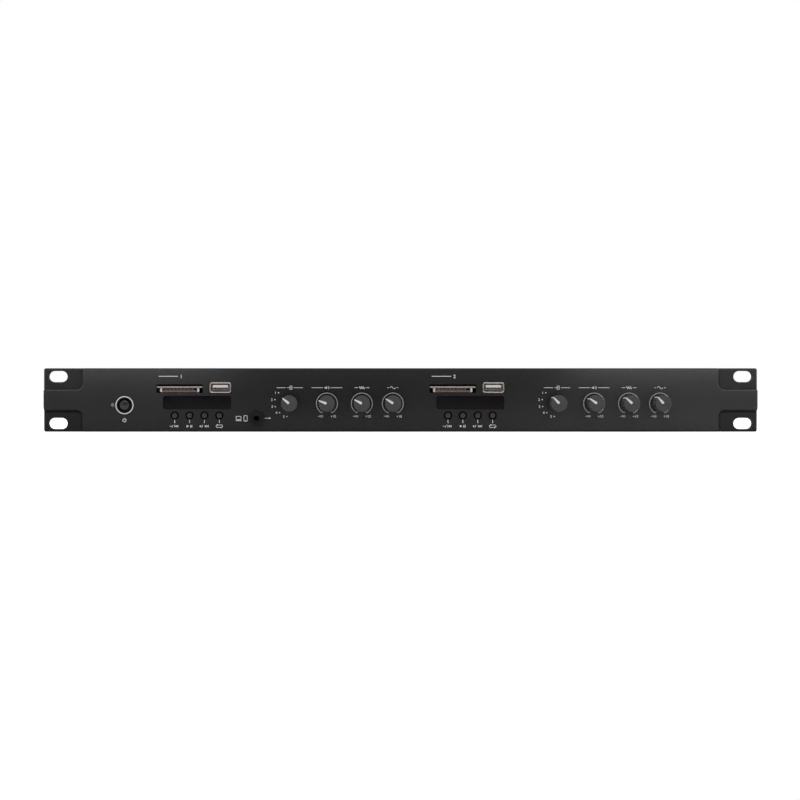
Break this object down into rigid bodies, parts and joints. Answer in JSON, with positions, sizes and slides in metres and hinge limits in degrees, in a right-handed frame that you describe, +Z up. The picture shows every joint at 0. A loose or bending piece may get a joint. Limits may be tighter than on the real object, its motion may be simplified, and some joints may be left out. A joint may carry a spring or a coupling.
{
  "type": "dual rack media player",
  "caption": "Rack-mounted media player for memory cards and USB sticks, with displays, push buttons, source selectors and level and tone knobs.",
  "frame": {"origin": "on the ground under the middle of the whole unit's box; the panel's long lower edge is at z = 0", "axes": "+X to the right seen from the front, +Y to the back, +Z up"},
  "size_m": [0.4826, 0.2192, 0.043],
  "materials": {
    "panel": "moulded black, satin",
    "knobs": "moulded dark grey, satin",
    "window": "smoked acrylic, polished",
    "painted_steel": "black, fine texture",
    "bright_steel": "plated",
    "white_plastic": "white insulator",
    "circuit_board": "solder mask",
    "lamp": "clear lens",
    "socket_metal": "black",
    "black_plastic": "black nylon"
  },
  "bodies": {
    "chassis": {"aux_jack": "black_plastic", "aux_jack_nut": "black_plastic", "bass_pot_1": "bright_steel", "bass_pot_2": "bright_steel", "card_socket_1": "bright_steel", "card_socket_2": "bright_steel", "chassis_tray": "painted_steel", "control_board_1": "circuit_board", "control_board_2": "circuit_board", "display_window_1": "window", "display_window_2": "window", "front_panel": "panel", "input_select_switch_1": "bright_steel", "input_select_switch_2": "bright_steel", "main_board": "circuit_board", "mains_inlet": "black_plastic", "master_volume_pot_1": "bright_steel", "master_volume_pot_2": "bright_steel", "phono_block": "black_plastic", "player_board_1": "circuit_board", "player_board_2": "circuit_board", "power_led": "lamp", "power_supply": "circuit_board", "power_switch": "black_plastic", "top_cover": "painted_steel", "treble_pot_1": "bright_steel", "treble_pot_2": "bright_steel", "usb_shell_1": "bright_steel", "usb_shell_2": "bright_steel", "usb_tongue_1": "white_plastic", "usb_tongue_2": "white_plastic", "xlr_left_1": "socket_metal", "xlr_left_2": "socket_metal", "xlr_right_1": "socket_metal", "xlr_right_2": "socket_metal"},
    "power_button": {"power_button": "knobs"},
    "previous_button_1": {"previous_button_1": "knobs"},
    "play_button_1": {"play_button_1": "knobs"},
    "next_button_1": {"next_button_1": "knobs"},
    "mode_button_1": {"mode_button_1": "knobs"},
    "input_select_1": {"input_select_knob_1": "knobs", "input_select_shaft_1": "bright_steel"},
    "master_volume_1": {"master_volume_knob_1": "knobs", "master_volume_shaft_1": "bright_steel"},
    "treble_1": {"treble_knob_1": "knobs", "treble_shaft_1": "bright_steel"},
    "bass_1": {"bass_knob_1": "knobs", "bass_shaft_1": "bright_steel"},
    "previous_button_2": {"previous_button_2": "knobs"},
    "play_button_2": {"play_button_2": "knobs"},
    "next_button_2": {"next_button_2": "knobs"},
    "mode_button_2": {"mode_button_2": "knobs"},
    "input_select_2": {"input_select_knob_2": "knobs", "input_select_shaft_2": "bright_steel"},
    "master_volume_2": {"master_volume_knob_2": "knobs", "master_volume_shaft_2": "bright_steel"},
    "treble_2": {"treble_knob_2": "knobs", "treble_shaft_2": "bright_steel"},
    "bass_2": {"bass_knob_2": "knobs", "bass_shaft_2": "bright_steel"}
  },
  "joints": [
    {"name": "power_push", "type": "slide", "parent": "chassis", "child": "power_button", "axis": [0, 1, 0], "range_m": [0, 0.0025], "stiffness_N_per_m": 600, "springref_m": -0.0015},
    {"name": "previous_push_1", "type": "slide", "parent": "chassis", "child": "previous_button_1", "axis": [0, 1, 0], "range_m": [0, 0.0004], "stiffness_N_per_m": 2000, "springref_m": -0.0003},
    {"name": "play_push_1", "type": "slide", "parent": "chassis", "child": "play_button_1", "axis": [0, 1, 0], "range_m": [0, 0.0004], "stiffness_N_per_m": 2000, "springref_m": -0.0003},
    {"name": "next_push_1", "type": "slide", "parent": "chassis", "child": "next_button_1", "axis": [0, 1, 0], "range_m": [0, 0.0004], "stiffness_N_per_m": 2000, "springref_m": -0.0003},
    {"name": "mode_push_1", "type": "slide", "parent": "chassis", "child": "mode_button_1", "axis": [0, 1, 0], "range_m": [0, 0.0004], "stiffness_N_per_m": 2000, "springref_m": -0.0003},
    {"name": "input_select_turn_1", "type": "hinge", "parent": "chassis", "child": "input_select_1", "pos_m": [-0.07488, -0.0889, 0.0191], "axis": [0, 1, 0], "range_deg": [-120, 0]},
    {"name": "master_volume_turn_1", "type": "hinge", "parent": "chassis", "child": "master_volume_1", "pos_m": [-0.04978, -0.0889, 0.0191], "axis": [0, 1, 0], "range_deg": [-86, 214]},
    {"name": "treble_turn_1", "type": "hinge", "parent": "chassis", "child": "treble_1", "pos_m": [-0.02618, -0.0889, 0.0191], "axis": [0, 1, 0], "range_deg": [-92, 208]},
    {"name": "bass_turn_1", "type": "hinge", "parent": "chassis", "child": "bass_1", "pos_m": [-0.00528, -0.0889, 0.0191], "axis": [0, 1, 0], "range_deg": [-95, 205]},
    {"name": "previous_push_2", "type": "slide", "parent": "chassis", "child": "previous_button_2", "axis": [0, 1, 0], "range_m": [0, 0.0004], "stiffness_N_per_m": 2000, "springref_m": -0.0003},
    {"name": "play_push_2", "type": "slide", "parent": "chassis", "child": "play_button_2", "axis": [0, 1, 0], "range_m": [0, 0.0004], "stiffness_N_per_m": 2000, "springref_m": -0.0003},
    {"name": "next_push_2", "type": "slide", "parent": "chassis", "child": "next_button_2", "axis": [0, 1, 0], "range_m": [0, 0.0004], "stiffness_N_per_m": 2000, "springref_m": -0.0003},
    {"name": "mode_push_2", "type": "slide", "parent": "chassis", "child": "mode_button_2", "axis": [0, 1, 0], "range_m": [0, 0.0004], "stiffness_N_per_m": 2000, "springref_m": -0.0003},
    {"name": "input_select_turn_2", "type": "hinge", "parent": "chassis", "child": "input_select_2", "pos_m": [0.10561, -0.0889, 0.0191], "axis": [0, 1, 0], "range_deg": [-120, 0]},
    {"name": "master_volume_turn_2", "type": "hinge", "parent": "chassis", "child": "master_volume_2", "pos_m": [0.13071, -0.0889, 0.0191], "axis": [0, 1, 0], "range_deg": [-93, 207]},
    {"name": "treble_turn_2", "type": "hinge", "parent": "chassis", "child": "treble_2", "pos_m": [0.15431, -0.0889, 0.0191], "axis": [0, 1, 0], "range_deg": [-102.5, 197.5]},
    {"name": "bass_turn_2", "type": "hinge", "parent": "chassis", "child": "bass_2", "pos_m": [0.17521, -0.0889, 0.0191], "axis": [0, 1, 0], "range_deg": [-110, 190]}
  ]
}
